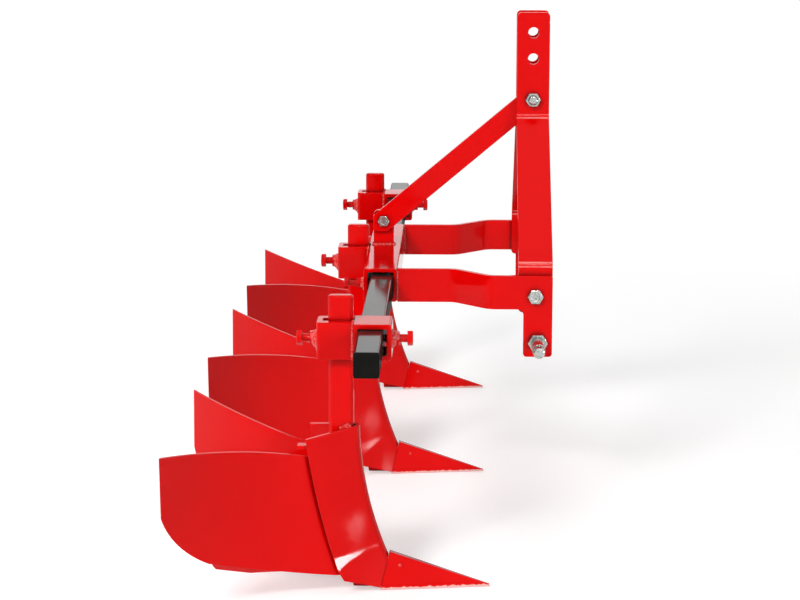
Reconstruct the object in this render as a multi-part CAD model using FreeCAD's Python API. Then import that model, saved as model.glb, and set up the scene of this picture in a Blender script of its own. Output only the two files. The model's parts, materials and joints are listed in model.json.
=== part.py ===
import FreeCAD, Part
import math
import os

# Three-row ridger for a compact tractor, in millimetres.
# +X is the travel direction, +Y the left side, +Z up. The floor is Z = 0.
# Every function works with X measured from the toolbar's axis; save() moves the
# finished piece so that the machine's overall length is centred on X = 0.

# Toolbar
toolbar_length = 1800.0
toolbar_side = 40.0
toolbar_wall = 3.0
toolbar_corner = 4.0
toolbar_height = 410.0
row_spacing = 700.0
cap_flange = 3.0
cap_plug_depth = 22.0
cap_clearance = 0.3

# Square sleeve in the middle, which carries the hitch frame and the middle row
sleeve_wall = 7.0
sleeve_play = 6.0
sleeve_length = 500.0
sleeve_corner = 5.0
sleeve_bolt_inset = 22.0
seat_clearance = 0.3

# Sliding clamps of the two outer rows
clamp_wall = 8.0
clamp_length = 72.0
clamp_corner = 5.0
clamp_side_clearance = 1.0
clamp_bolt_gap = 5.0

# Upright holders of the three shanks
holder_height = 60.0
holder_width = 56.0
holder_back_wall = 9.0
holder_back_gap = 8.5
holder_corner = 6.0
shank_clearance = 0.4

# Shanks
shank_width = 40.0
shank_thickness = 20.0
shank_chamfer = 5.0
shank_top_chamfer = 3.0
shank_above_holder = 40.0
shank_foot_thickness = 12.0
shank_foot_height = 150.0
shank_foot_rear = -1.7

# Set bolts with welded nuts: M14 on the clamps and holders, M10 on the middle sleeve.
# "free" is the bare thread between the nut and the head.
big_set_bolt = {"radius": 7.0, "flats": 21.0, "head": 9.0, "free": 12.0, "nut": 12.0}
small_set_bolt = {"radius": 5.0, "flats": 17.0, "head": 7.5, "free": 15.0, "nut": 13.0}
thread_clearance = 0.2

# Bolts and their nuts: M16 on the mast, M12 on the brace's lug
m16 = {"radius": 8.0, "flats": 24.0, "head": 10.0, "nut": 13.0}
m12 = {"radius": 6.0, "flats": 19.0, "head": 8.0, "nut": 10.0}
bolt_hole_clearance = 0.3
bolt_end = 4.0

# Lower arms: cranked outwards, with a drop leg at the front for the lower link pin
arm_height = 60.0
arm_thickness = 10.0
arm_crank_start = 130.0
arm_crank_end = 192.0
arm_bend_radius = 30.0
arm_corner = 6.0
arm_inner_fillet = 11.0
hitch_half_width = 314.0
hitch_front = 302.0
leg_width = 51.0
leg_under_pin = 27.0

# Lower link pins, category 1
link_pin_radius = 11.0
link_pin_length = 58.0
link_pin_height = 322.0
link_pin_tip_radius = 9.7
link_pin_tip = 22.0
linch_hole_radius = 4.5
collar_flats = 30.0
collar_length = 16.0
link_stud_radius = 10.0
link_nut_length = 14.0

# Mast
mast_width = 60.0
mast_thickness = 8.0
mast_gap = 52.0
mast_top = 880.0
mast_upper_bend = 688.0
mast_lower_bend_rise = 48.0
mast_bend_radius = 24.0
mast_corner = 8.0
mast_foot_below_bolt = 31.0
foot_bolt_drop = 6.0
mast_bolt_height = 720.0
link_hole_radius = 10.0
link_hole_heights = (795.0, 843.0)

# Brace from the mast down to the lug on the middle sleeve
brace_width = 40.0
brace_thickness = 10.0
brace_overhang = 20.0
brace_corner = 9.0
brace_bolt_x = -5.5
brace_bolt_rise = 47.0
spacer_radius = 14.0
lug_width = 38.0
lug_thickness = 10.0
lug_over_bolt = 19.0

# Ridging bodies, with X measured from the face that their shank stands against.
# The breast is a folded plate, bent round an axis in front of it.
plate_thickness = 6.0
fold_angle = 29.5
ridge_radius = 580.0
ridge_top = 280.0
breast_top_front = 268.0
breast_rear_top = (-74.2, 256.5)
breast_rear_mid = (-54.7, 148.5)
breast_rear_low = (-23.7, 40.0)
breast_bottom_rear = (-14.2, 23.5)
breast_bottom_front = 4.5
weld_gap = 0.5
tab_length = 24.0
tab_width = 18.0
tab_thickness = 6.0
tab_top = 245.0

# Shares
share_tip = 219.3
share_height = 58.5
share_half_width = 28.0
share_ridge_half_width = 6.0
share_tip_half_width = 2.5
share_tip_height = 4.0
share_top_x = 56.8
share_bottom_x = 41.8
share_pocket_end = 168.3
joint_gap = 0.4

# Wings. The plan curve is given as fractions of the way back and out.
wing_thickness = 4.0
wing_rear = 283.7
wing_half_spread = 228.0
wing_tuck = 5.0
wing_narrowing = 0.083
wing_plan = ((0.19, 0.107), (0.425, 0.296), (0.708, 0.599), (1.0, 1.0))
wing_overlap = 24.0
wing_seat_gap = 0.7
wing_top_front = (-49.7, 219.5)
wing_top_middle = (-176.7, 249.8)
wing_top_rear = 270.0
wing_rear_corner = 174.0
wing_corner_middle = (-261.7, 123.0)
wing_bottom_rear = (-219.7, 81.0)
wing_bottom_middle = (-142.7, 54.5)
wing_bottom_front = (-27.7, 29.5)
wing_lip = (-4.0, 6.0, -9.0)
wing_lip_ends = (-214.7, -205.7, -161.7, -105.7)

# Stay between the wings, carried by the back of the shank
stay_x = -161.7
stay_height = 170.0
stay_width = 30.0
stay_thickness = 6.0
gusset_thickness = 8.0
gusset_length = 28.0
gusset_top = 235.0

half_bar = toolbar_side / 2
sleeve_side = toolbar_side + sleeve_play + 2 * sleeve_wall
sleeve_front = half_bar + seat_clearance + sleeve_wall
sleeve_back = sleeve_front - sleeve_side
sleeve_top = toolbar_height + sleeve_side / 2
clamp_back = -(half_bar + seat_clearance + clamp_wall)
clamp_front = half_bar + clamp_bolt_gap + clamp_wall
clamp_half_height = half_bar + clamp_side_clearance + clamp_wall
shank_top = toolbar_height + holder_height / 2 + shank_above_holder
arm_half_width = sleeve_length / 2
mast_x = hitch_front - mast_width / 2
mast_lower_bend = toolbar_height + mast_lower_bend_rise
foot_bolt_height = toolbar_height - foot_bolt_drop
brace_bolt_height = sleeve_top + brace_bolt_rise
leg_x = hitch_front - leg_width / 2
leg_bottom = link_pin_height - leg_under_pin
rear_reach = wing_rear - sleeve_back
shift_x = (rear_reach - hitch_front) / 2


def vec(x, y, z):
    return FreeCAD.Vector(x, y, z)


def save(shape, name):
    placed = shape.copy()
    placed.translate(vec(shift_x, 0, 0))
    placed.exportStep("parts/" + name + ".step")


def box(x_range, y_range, z_range):
    size = [high - low for low, high in (x_range, y_range, z_range)]
    return Part.makeBox(size[0], size[1], size[2], vec(x_range[0], y_range[0], z_range[0]))


def cylinder_y(radius, x, z, y_from, y_to):
    low, high = min(y_from, y_to), max(y_from, y_to)
    return Part.makeCylinder(radius, high - low, vec(x, low, z), vec(0, 1, 0))


def cylinder_x(radius, y, z, x_from, x_to):
    low, high = min(x_from, x_to), max(x_from, x_to)
    return Part.makeCylinder(radius, high - low, vec(low, y, z), vec(1, 0, 0))


def mirror_y(shape):
    return shape.mirror(vec(0, 0, 0), vec(0, 1, 0))


def polygon_prism(points, direction):
    """A prism over the closed polygon, along direction."""
    corners = [vec(*point) for point in points]
    wire = Part.makePolygon(corners + corners[:1])
    return Part.Face(wire).extrude(direction)


def side_prism(outline, half_width):
    """A prism across Y over an outline given as (x, z) points."""
    points = [(x, -half_width, z) for x, z in outline]
    return polygon_prism(points, vec(0, 2 * half_width, 0))


def fillet_along(shape, radius, axis, wanted=lambda middle: True):
    """Round the straight edges that run along one axis and pass the wanted test."""
    edges = []
    for edge in shape.Edges:
        if edge.Curve.TypeId != "Part::GeomLine":
            continue
        direction = edge.tangentAt(edge.FirstParameter)
        if abs(abs(direction.dot(axis)) - 1) < 1e-6 and wanted(edge.CenterOfMass):
            edges.append(edge)
    return shape.makeFillet(radius, edges)


def hexagon_prism(flats, start, direction, length, turn=0.0):
    """A hexagonal bar from start along direction, with its corners taken off at the far end."""
    corner_radius = flats / math.sqrt(3)
    points = []
    for step in range(6):
        angle = math.radians(60 * step + turn)
        points.append(vec(corner_radius * math.cos(angle), corner_radius * math.sin(angle), 0))
    prism = Part.Face(Part.makePolygon(points + points[:1])).extrude(vec(0, 0, length))
    chamfer = corner_radius - flats / 2
    cone = Part.makeCone(corner_radius + length * 2, flats / 2, length * 2 + chamfer,
                         vec(0, 0, length - length * 2 - chamfer))
    prism = prism.common(cone)
    prism.Placement = FreeCAD.Placement(start, FreeCAD.Rotation(vec(0, 0, 1), direction))
    return prism


def square_tube(centre_x, side, wall, corner, y_range):
    outer = box((centre_x - side / 2, centre_x + side / 2), y_range,
                (toolbar_height - side / 2, toolbar_height + side / 2))
    outer = fillet_along(outer, corner, vec(0, 1, 0))
    inner_side = side - 2 * wall
    inner = box((centre_x - inner_side / 2, centre_x + inner_side / 2),
                (y_range[0] - 1, y_range[1] + 1),
                (toolbar_height - inner_side / 2, toolbar_height + inner_side / 2))
    if corner > wall:
        inner = fillet_along(inner, corner - wall, vec(0, 1, 0))
    return outer.cut(inner)


def strip_outline(points, radii, thickness):
    """Corner points of a bent strip, as two offset paths with a radius at each bend."""
    def offset(distance):
        result = []
        for index, point in enumerate(points):
            before = points[index - 1] if index else None
            after = points[index + 1] if index + 1 < len(points) else None
            normals = []
            for start, end in ((before, point), (point, after)):
                if start is not None and end is not None:
                    run = (end[0] - start[0], end[1] - start[1])
                    length = math.hypot(*run)
                    normals.append((-run[1] / length, run[0] / length))
            total = (sum(n[0] for n in normals), sum(n[1] for n in normals))
            length = math.hypot(*total)
            unit = (total[0] / length, total[1] / length)
            stretch = distance / (unit[0] * normals[0][0] + unit[1] * normals[0][1])
            result.append((point[0] + unit[0] * stretch, point[1] + unit[1] * stretch))
        return result

    def turn(index):
        a, b, c = points[index - 1], points[index], points[index + 1]
        return (b[0] - a[0]) * (c[1] - b[1]) - (b[1] - a[1]) * (c[0] - b[0])

    left, right = offset(thickness / 2), offset(-thickness / 2)
    left_radii = [0.0] + [r - math.copysign(thickness / 2, turn(i + 1))
                          for i, r in enumerate(radii)] + [0.0]
    right_radii = [0.0] + [r + math.copysign(thickness / 2, turn(i + 1))
                           for i, r in enumerate(radii)] + [0.0]
    return left + right[::-1], left_radii + right_radii[::-1]


def rounded_wire(points, radii):
    """A closed wire through 3-D corner points, each rounded to its radius."""
    edges = []
    count = len(points)
    starts, ends = [], []
    arcs = []
    for index in range(count):
        corner = points[index]
        before, after = points[index - 1], points[(index + 1) % count]
        radius = radii[index]
        if radius <= 0:
            starts.append(corner)
            ends.append(corner)
            arcs.append(None)
            continue
        into = (before - corner).normalize()
        out = (after - corner).normalize()
        half = math.acos(max(-1.0, min(1.0, into.dot(out)))) / 2
        reach = radius / math.tan(half)
        first, last = corner + into * reach, corner + out * reach
        middle_way = (into + out).normalize()
        middle = corner + middle_way * (radius / math.sin(half) - radius)
        starts.append(first)
        ends.append(last)
        arcs.append(Part.Arc(first, middle, last).toShape())
    for index in range(count):
        if arcs[index]:
            edges.append(arcs[index])
        following = (index + 1) % count
        if (ends[index] - starts[following]).Length > 1e-6:
            edges.append(Part.makeLine(ends[index], starts[following]))
    return Part.Wire(edges)


def bent_strip(points, radii, thickness, to_space, direction):
    """A strip bent in a plane and as wide as direction; to_space places plane points."""
    outline, corner_radii = strip_outline(points, radii, thickness)
    wire = rounded_wire([to_space(a, b) for a, b in outline], corner_radii)
    return Part.Face(wire).extrude(direction)


# Toolbar and its caps

def toolbar_tube():
    half = toolbar_length / 2 - cap_flange
    return square_tube(0, toolbar_side, toolbar_wall, toolbar_corner, (-half, half))


def end_cap():
    """Plug with a flange, for the end at -Y."""
    end = -toolbar_length / 2
    flange = box((-half_bar, half_bar), (end, end + cap_flange),
                 (toolbar_height - half_bar, toolbar_height + half_bar))
    flange = fillet_along(flange, toolbar_corner, vec(0, 1, 0))
    reach = half_bar - toolbar_wall - cap_clearance
    plug = box((-reach, reach), (end + cap_flange, end + cap_flange + cap_plug_depth),
               (toolbar_height - reach, toolbar_height + reach))
    return flange.fuse(plug).removeSplitter()


# Set bolts

def set_bolt(size, tip_x, nut_x, side, y):
    """Bolt along X whose tip presses at tip_x; side is -1 for a bolt at the back."""
    head_x = nut_x + side * (size["nut"] + size["free"])
    shank = cylinder_x(size["radius"], y, toolbar_height, tip_x, head_x)
    head = hexagon_prism(size["flats"], vec(head_x, y, toolbar_height), vec(side, 0, 0),
                         size["head"], 30)
    return shank.fuse(head)


def weld_nut(size, nut_x, side, y):
    return hexagon_prism(size["flats"], vec(nut_x, y, toolbar_height), vec(side, 0, 0),
                         size["nut"], 30)


def set_bolt_hole(size, nut_x, side, y, wall):
    """Hole through the nut and the wall behind it."""
    return cylinder_x(size["radius"] + thread_clearance, y, toolbar_height,
                      nut_x + side * (size["nut"] + 1), nut_x - side * (wall + 1))


# Middle sleeve

def sleeve_bolt_places():
    y = sleeve_length / 2 - sleeve_bolt_inset
    return (-y, y)


def centre_sleeve():
    centre = (sleeve_front + sleeve_back) / 2
    half = sleeve_length / 2
    body = square_tube(centre, sleeve_side, sleeve_wall, sleeve_corner, (-half, half))
    for y in sleeve_bolt_places():
        body = body.fuse(weld_nut(small_set_bolt, sleeve_back, -1, y))
    for y in sleeve_bolt_places():
        body = body.cut(set_bolt_hole(small_set_bolt, sleeve_back, -1, y, sleeve_wall))
    return body


def sleeve_set_bolt(y):
    return set_bolt(small_set_bolt, -half_bar - seat_clearance, sleeve_back, -1, y)


# Sliding clamp round the toolbar, for a row at y = 0

def clamp():
    outer = box((clamp_back, clamp_front), (-clamp_length / 2, clamp_length / 2),
                (toolbar_height - clamp_half_height, toolbar_height + clamp_half_height))
    outer = fillet_along(outer, clamp_corner, vec(0, 1, 0), lambda middle: middle.x > 0)
    hollow_half = clamp_half_height - clamp_wall
    inner = box((clamp_back + clamp_wall, clamp_front - clamp_wall),
                (-clamp_length / 2 - 1, clamp_length / 2 + 1),
                (toolbar_height - hollow_half, toolbar_height + hollow_half))
    body = outer.cut(inner).fuse(weld_nut(big_set_bolt, clamp_front, 1, 0))
    return body.cut(set_bolt_hole(big_set_bolt, clamp_front, 1, 0, clamp_wall))


def clamp_set_bolt():
    return set_bolt(big_set_bolt, half_bar + seat_clearance, clamp_front, 1, 0)


# Holder of a shank, welded to the face at front_x, for a row at y = 0

def holder_back(front_x):
    return shank_back(front_x) - holder_back_gap - holder_back_wall


def shank_back(front_x):
    return front_x - shank_clearance - shank_width


def shank_holder(front_x):
    low = toolbar_height - holder_height / 2
    high = toolbar_height + holder_height / 2
    back = holder_back(front_x)
    outer = box((back, front_x), (-holder_width / 2, holder_width / 2), (low, high))
    outer = fillet_along(outer, holder_corner, vec(0, 0, 1), lambda middle: middle.x < back + 1)
    slot_half = shank_thickness / 2 + shank_clearance
    slot = box((back + holder_back_wall, front_x + 1), (-slot_half, slot_half),
               (low - 1, high + 1))
    body = outer.cut(slot).fuse(weld_nut(big_set_bolt, back, -1, 0))
    return body.cut(set_bolt_hole(big_set_bolt, back, -1, 0, holder_back_wall))


def shank_set_bolt(front_x):
    tip = shank_back(front_x) - seat_clearance
    return set_bolt(big_set_bolt, tip, holder_back(front_x), -1, 0)


# Hitch frame

def arm_path():
    rear = -(arm_half_width - arm_thickness / 2)
    front = -(hitch_half_width - arm_thickness / 2)
    return [(sleeve_front, rear), (arm_crank_start, rear), (arm_crank_end, front),
            (hitch_front, front)]


def lower_arm():
    """Right-hand arm, with the drop leg for the lower link pin."""
    top = toolbar_height + arm_height / 2
    bottom = toolbar_height - arm_height / 2
    strip = bent_strip(arm_path(), [arm_bend_radius] * 2, arm_thickness,
                       lambda x, y: vec(x, y, leg_bottom), vec(0, 0, top - leg_bottom))
    leg_back = hitch_front - leg_width
    corners = [(sleeve_front, top), (hitch_front, top), (hitch_front, leg_bottom),
               (leg_back, leg_bottom), (leg_back, bottom), (sleeve_front, bottom)]
    radii = [0, 3, arm_corner, arm_corner, arm_inner_fillet, 0]
    y_start = -hitch_half_width - 1
    wire = rounded_wire([vec(x, y_start, z) for x, z in corners], radii)
    outline = Part.Face(wire).extrude(vec(0, hitch_half_width, 0))
    arm = strip.common(outline)
    for x, z, radius in ((mast_x, foot_bolt_height, m16["radius"]),
                         (leg_x, link_pin_height, link_stud_radius)):
        arm = arm.cut(cylinder_y(radius + bolt_hole_clearance, x, z, y_start, -200))
    return arm


def mast_bar():
    """Right-hand bar: upright at the top, splayed out to the arm at the foot."""
    upper_y = -(mast_gap + mast_thickness) / 2
    foot_y = -(hitch_half_width - arm_thickness - mast_thickness / 2)
    foot = foot_bolt_height - mast_foot_below_bolt
    path = [(upper_y, mast_top), (upper_y, mast_upper_bend), (foot_y, mast_lower_bend),
            (foot_y, foot)]
    x_back = hitch_front - mast_width
    bar = bent_strip(path, [mast_bend_radius] * 2, mast_thickness,
                     lambda y, z: vec(x_back, y, z), vec(mast_width, 0, 0))
    bar = fillet_along(bar, mast_corner, vec(0, 1, 0))
    holes = [(z, link_hole_radius) for z in link_hole_heights]
    holes.append((mast_bolt_height, m16["radius"] + bolt_hole_clearance))
    for z, radius in holes:
        bar = bar.cut(cylinder_y(radius, mast_x, z, upper_y - 10, upper_y + 10))
    return bar.cut(cylinder_y(m16["radius"] + bolt_hole_clearance, mast_x, foot_bolt_height,
                              foot_y - 10, foot_y + 10))


def bolt_y(size, x, z, head_y, clamped_to):
    """Bolt along Y from its head at head_y; the nut bears on clamped_to."""
    side = 1 if clamped_to > head_y else -1
    end_y = clamped_to + side * (size["nut"] + bolt_end)
    shank = cylinder_y(size["radius"], x, z, head_y, end_y)
    head = hexagon_prism(size["flats"], vec(x, head_y, z), vec(0, -side, 0), size["head"])
    nut = hexagon_prism(size["flats"], vec(x, clamped_to, z), vec(0, side, 0), size["nut"])
    return shank.fuse([head, nut])


def foot_bolt():
    inner = -(hitch_half_width - arm_thickness - mast_thickness)
    return bolt_y(m16, mast_x, foot_bolt_height, -hitch_half_width, inner)


def mast_bolt():
    """Head on the left, nut on the right."""
    face = mast_gap / 2 + mast_thickness
    return bolt_y(m16, mast_x, mast_bolt_height, face, -face)


def brace_bolt():
    """Head on the right of the brace, nut behind the lug."""
    back = brace_thickness / 2 + seat_clearance + lug_thickness
    return bolt_y(m12, brace_bolt_x, brace_bolt_height, -brace_thickness / 2, back)


def mast_spacer():
    """Tube between the right-hand mast bar and the brace."""
    y_from, y_to = -mast_gap / 2, -brace_thickness / 2
    tube = cylinder_y(spacer_radius, mast_x, mast_bolt_height, y_from, y_to)
    hole = cylinder_y(m16["radius"] + bolt_hole_clearance, mast_x, mast_bolt_height,
                      y_from - 1, y_to + 1)
    return tube.cut(hole)


def brace():
    """Flat bar whose lower end is trimmed flush with the lug's back edge."""
    run = (mast_x - brace_bolt_x, mast_bolt_height - brace_bolt_height)
    length = math.hypot(*run)
    bar = box((-2 * brace_overhang, length + brace_overhang),
              (-brace_thickness / 2, brace_thickness / 2), (-brace_width / 2, brace_width / 2))
    bar = fillet_along(bar, brace_corner, vec(0, 1, 0), lambda middle: middle.x > 0)
    for x, size in ((0, m12), (length, m16)):
        bar = bar.cut(cylinder_y(size["radius"] + bolt_hole_clearance, x, 0,
                                 -brace_thickness, brace_thickness))
    angle = math.degrees(math.atan2(run[1], run[0]))
    bar.rotate(vec(0, 0, 0), vec(0, 1, 0), -angle)
    bar.translate(vec(brace_bolt_x, 0, brace_bolt_height))
    return bar.common(box((brace_bolt_x - lug_width / 2, hitch_front),
                          (-brace_thickness, brace_thickness),
                          (brace_bolt_height - brace_overhang, mast_top)))


def brace_lug():
    y_from = brace_thickness / 2 + seat_clearance
    lug = box((brace_bolt_x - lug_width / 2, brace_bolt_x + lug_width / 2),
              (y_from, y_from + lug_thickness), (sleeve_top, brace_bolt_height + lug_over_bolt))
    lug = fillet_along(lug, brace_corner, vec(0, 1, 0), lambda middle: middle.z > brace_bolt_height)
    return lug.cut(cylinder_y(m12["radius"] + bolt_hole_clearance, brace_bolt_x,
                              brace_bolt_height, y_from - 1, y_from + lug_thickness + 1))


def lower_link_pin():
    """Right-hand pin: stud through the leg, nut inside, collar, pin and stepped tip."""
    inner = -(hitch_half_width - arm_thickness)
    collar_end = -hitch_half_width - collar_length
    pin_end = collar_end - link_pin_length
    tip_end = pin_end - link_pin_tip
    x, z = leg_x, link_pin_height
    stud = cylinder_y(link_stud_radius, x, z, inner + link_nut_length + bolt_end,
                      -hitch_half_width)
    nut = hexagon_prism(collar_flats, vec(x, inner, z), vec(0, 1, 0), link_nut_length)
    collar = hexagon_prism(collar_flats, vec(x, -hitch_half_width, z), vec(0, -1, 0),
                           collar_length)
    pin = cylinder_y(link_pin_radius, x, z, pin_end, collar_end)
    tip = cylinder_y(link_pin_tip_radius, x, z, tip_end, pin_end)
    tip = tip.makeChamfer(1.5, [edge for edge in tip.Edges
                                if abs(edge.CenterOfMass.y - tip_end) < 0.1])
    linch_y = pin_end - link_pin_tip * 0.45
    linch = Part.makeCylinder(linch_hole_radius, 4 * link_pin_radius,
                              vec(x, linch_y, z - 2 * link_pin_radius), vec(0, 0, 1))
    return stud.fuse([nut, collar, pin, tip]).cut(linch)


# Ridging body, for a row at y = 0 with its shank against a face at x = 0

def nose_radii():
    """Inner and outer radius of the fold; the shank's chamfered edge lies in it."""
    return shank_thickness / 2, shank_thickness / 2 + plate_thickness


def ridge_start():
    """x of the ridge at the height of the bending axis."""
    slope = math.radians(fold_angle)
    inner, outer = nose_radii()
    side_room = (inner * (1 - math.cos(slope)) - weld_gap) / math.sin(slope)
    return -shank_clearance - shank_chamfer - side_room + outer


def ridge_x(z):
    drop = ridge_top - z
    return ridge_start() + ridge_radius - math.sqrt(ridge_radius ** 2 - drop ** 2)


def flank_y(x, z, inset):
    """Half width of the flank at a point in side view, less inset square to the plate."""
    slope = math.radians(fold_angle)
    outer = nose_radii()[1]
    axis_x = ridge_start() + ridge_radius
    depth = math.hypot(axis_x - x, ridge_top - z) - ridge_radius
    touch_depth = outer * (1 - math.sin(slope))
    return outer * math.cos(slope) + (depth - touch_depth) * math.tan(slope) \
        - inset / math.cos(slope)


def fold_section(back_x):
    """Section of the folded plate at the height of the bending axis."""
    slope = math.radians(fold_angle)
    centre = ridge_start() - nose_radii()[1]
    lines = []
    for radius, inset in zip(nose_radii(), (plate_thickness, 0)):
        touch_x, touch_y = centre + radius * math.sin(slope), radius * math.cos(slope)
        end_y = flank_y(back_x, ridge_top, inset)
        lines.append([vec(back_x, -end_y, ridge_top), vec(touch_x, -touch_y, ridge_top),
                      vec(centre + radius, 0, ridge_top), vec(touch_x, touch_y, ridge_top),
                      vec(back_x, end_y, ridge_top)])
    inner, outer = lines
    return Part.Wire([
        Part.makeLine(outer[0], outer[1]), Part.Arc(*outer[1:4]).toShape(),
        Part.makeLine(outer[3], outer[4]), Part.makeLine(outer[4], inner[4]),
        Part.makeLine(inner[4], inner[3]), Part.Arc(inner[3], inner[2], inner[1]).toShape(),
        Part.makeLine(inner[1], inner[0]), Part.makeLine(inner[0], outer[0])])


def breast_rear_x(z):
    """x of the breast's rear edge at a height, on the circle through its three points."""
    circle = Part.Circle(*[vec(x, 0, height) for x, height in
                           (breast_rear_top, breast_rear_mid, breast_rear_low)])
    height = z - circle.Center.z
    side = -1 if breast_rear_mid[0] < circle.Center.x else 1
    return circle.Center.x + side * math.sqrt(circle.Radius ** 2 - height ** 2)


def joint_x(z):
    """x of the share's rear edge at a height."""
    return share_bottom_x + (share_top_x - share_bottom_x) * z / share_height


def breast():
    back_x = breast_rear_top[0] - 15
    shell = Part.Face(fold_section(back_x)).revolve(
        vec(ridge_start() + ridge_radius, 0, ridge_top), vec(0, -1, 0), 31)
    y = -200
    above = 2 * share_height
    points = {"low": breast_rear_low, "corner": breast_bottom_rear,
              "joint": (joint_x(breast_bottom_front) - joint_gap, breast_bottom_front),
              "over": (joint_x(above) - joint_gap, above), "ahead": (share_tip, above),
              "front": (share_tip, breast_top_front), "shank": (0, breast_top_front),
              "top": breast_rear_top}
    at = {name: vec(x, y, z) for name, (x, z) in points.items()}
    order = list(at)
    edges = [Part.makeLine(at[first], at[second]) for first, second in zip(order, order[1:])]
    middle = vec(breast_rear_mid[0], y, breast_rear_mid[1])
    edges.append(Part.Arc(at["top"], middle, at["low"]).toShape())
    plate = shell.common(Part.Face(Part.Wire(edges)).extrude(vec(0, -2 * y, 0)))
    rear = breast_rear_x(tab_top) - tab_length * 0.65
    outside = flank_y(rear + tab_length, tab_top, plate_thickness / 2)
    tab = box((rear, rear + tab_length), (-outside, tab_width - outside),
              (tab_top - tab_thickness, tab_top))
    return plate.fuse(tab)


def share():
    def section(x_top, z_top, half_top, x_low, z_low, half_low):
        points = [vec(x_low, -half_low, z_low), vec(x_top, -half_top, z_top),
                  vec(x_top, half_top, z_top), vec(x_low, half_low, z_low)]
        return Part.makePolygon(points + points[:1])

    outer = Part.makeLoft([
        section(share_top_x, share_height, share_ridge_half_width,
                share_bottom_x, 0, share_half_width),
        section(share_tip - 1, share_tip_height, share_tip_half_width - 1,
                share_tip, 0, share_tip_half_width)], True, True)
    wall = plate_thickness
    slant = (share_top_x - share_bottom_x) / share_height
    pocket = Part.makeLoft([
        section(share_top_x - slant * wall * 1.4 - 0.5, share_height - wall * 1.4,
                share_ridge_half_width - wall / 2,
                share_bottom_x - slant - 0.5, -1, share_half_width - wall * 1.1),
        section(share_pocket_end, share_tip_height, 1, share_pocket_end, -1, 3)], True, True)
    return outer.cut(pocket)


def wing_section(z):
    """Closed section of the right-hand wing at one height."""
    rear_x = breast_rear_x(z)
    start_x = rear_x + wing_overlap
    points = [vec(start_x, -flank_y(start_x, z, plate_thickness + wing_seat_gap), z)]
    front = flank_y(rear_x, z, plate_thickness + wing_seat_gap) - wing_tuck
    rear = wing_half_spread - wing_narrowing * (wing_top_rear - z)
    for back, out in wing_plan:
        points.append(vec(rear_x + back * (-wing_rear - rear_x), -front - out * (rear - front), z))
    outer = Part.BSplineCurve()
    outer.interpolate(points)
    inner_points = []
    for point in points:
        along = outer.tangent(outer.parameter(point))[0]
        inner_points.append(point + vec(along.y, -along.x, 0) * wing_thickness)
    inner = Part.BSplineCurve()
    inner.interpolate(inner_points[::-1])
    return Part.Wire([outer.toShape(), Part.makeLine(points[-1], inner_points[-1]),
                      inner.toShape(), Part.makeLine(inner_points[0], points[0])])


def wing_inside_y(x, z):
    """Half width between the wings' inner faces at x."""
    cutter = Part.makeLine(vec(x, 0, z), vec(x, -400, z))
    return min(abs(point.Point.y) for point in Part.Face(wing_section(z)).common(cutter).Vertexes)


def wing_outline():
    """Side view of the wing, as a face at y = -400."""
    y = -400

    def arc(*points):
        return Part.Arc(*[vec(x, y, z) for x, z in points]).toShape()

    def line(*points):
        return Part.makeLine(*[vec(x, y, z) for x, z in points])

    top_rear, corner = (-wing_rear, wing_top_rear), (-wing_rear, wing_rear_corner)
    hidden_top = (wing_overlap, wing_top_front[1])
    hidden_low = (wing_overlap, wing_bottom_front[1])
    return Part.Face(Part.Wire([
        line(corner, top_rear), arc(top_rear, wing_top_middle, wing_top_front),
        line(wing_top_front, hidden_top), line(hidden_top, hidden_low),
        line(hidden_low, wing_bottom_front),
        arc(wing_bottom_front, wing_bottom_middle, wing_bottom_rear),
        arc(wing_bottom_rear, wing_corner_middle, corner)]))


def wing():
    """Right-hand wing, with a lip bent inwards under its bottom edge."""
    heights = [15, 80, 150, 215, 280]
    shell = Part.makeLoft([wing_section(z) for z in heights], True, False)
    sheet = shell.common(wing_outline().extrude(vec(0, 800, 0)))
    rear, rear_low, front_low, front = wing_lip_ends
    top, low = wing_bottom_rear[1], wing_bottom_middle[1]
    lip_area = side_prism([(rear, top + 20), (rear, top - 5), (rear_low, low), (rear_low, 0),
                           (front_low, low - 5), (front, low - 8.5), (front, top + 20)], 400)
    for face in sheet.Faces:
        centre = face.CenterOfMass
        facing = face.normalAt(*face.Surface.parameter(centre))
        if facing.z < -0.8 and centre.x < wing_bottom_front[0]:
            lip = face.extrude(vec(*wing_lip)).common(lip_area)
    return sheet.fuse(lip)


def shank():
    back, front = shank_back(0), -shank_clearance
    bar = box((back, front), (-shank_thickness / 2, shank_thickness / 2),
              (shank_foot_height, shank_top))
    bar = bar.makeChamfer(shank_chamfer, [
        edge for edge in bar.Edges
        if abs(edge.tangentAt(edge.FirstParameter).z) > 0.99])
    bar = bar.makeChamfer(shank_top_chamfer, [
        edge for edge in bar.Edges if edge.BoundBox.ZMin > shank_top - 0.01])
    inset = plate_thickness + 4
    outline = [(back, shank_foot_height + 30), (front - 4, shank_foot_height + 30)]
    for z in (shank_foot_height - 10, 100, 70):
        outline.append((ridge_x(z) - inset, z))
    outline += [(share_bottom_x, 48), (share_top_x, 34), (share_top_x + 27, 10),
                (share_top_x + 27, 0), (shank_foot_rear, 0), (shank_foot_rear - 4, 30),
                (back + 20, 90)]
    foot = side_prism(outline, shank_foot_thickness / 2)
    return bar.fuse(foot).removeSplitter()


def stay():
    """Gusset behind the shank with a cross strap between the wings."""
    back = shank_back(0) - seat_clearance
    low, high = stay_height - stay_width / 2, stay_height + stay_width / 2
    outline = [(back, gusset_top), (back - gusset_length, gusset_top),
               (back - gusset_length, stay_height + stay_width), (stay_x, high),
               (stay_x, low), (back, low)]
    gusset = side_prism(outline, gusset_thickness / 2)
    reach = min(wing_inside_y(stay_x, z) for z in (low, high)) - seat_clearance
    strap = box((stay_x - stay_thickness, stay_x), (-reach, reach), (low, high))
    return gusset.fuse(strap).removeSplitter()


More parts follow.
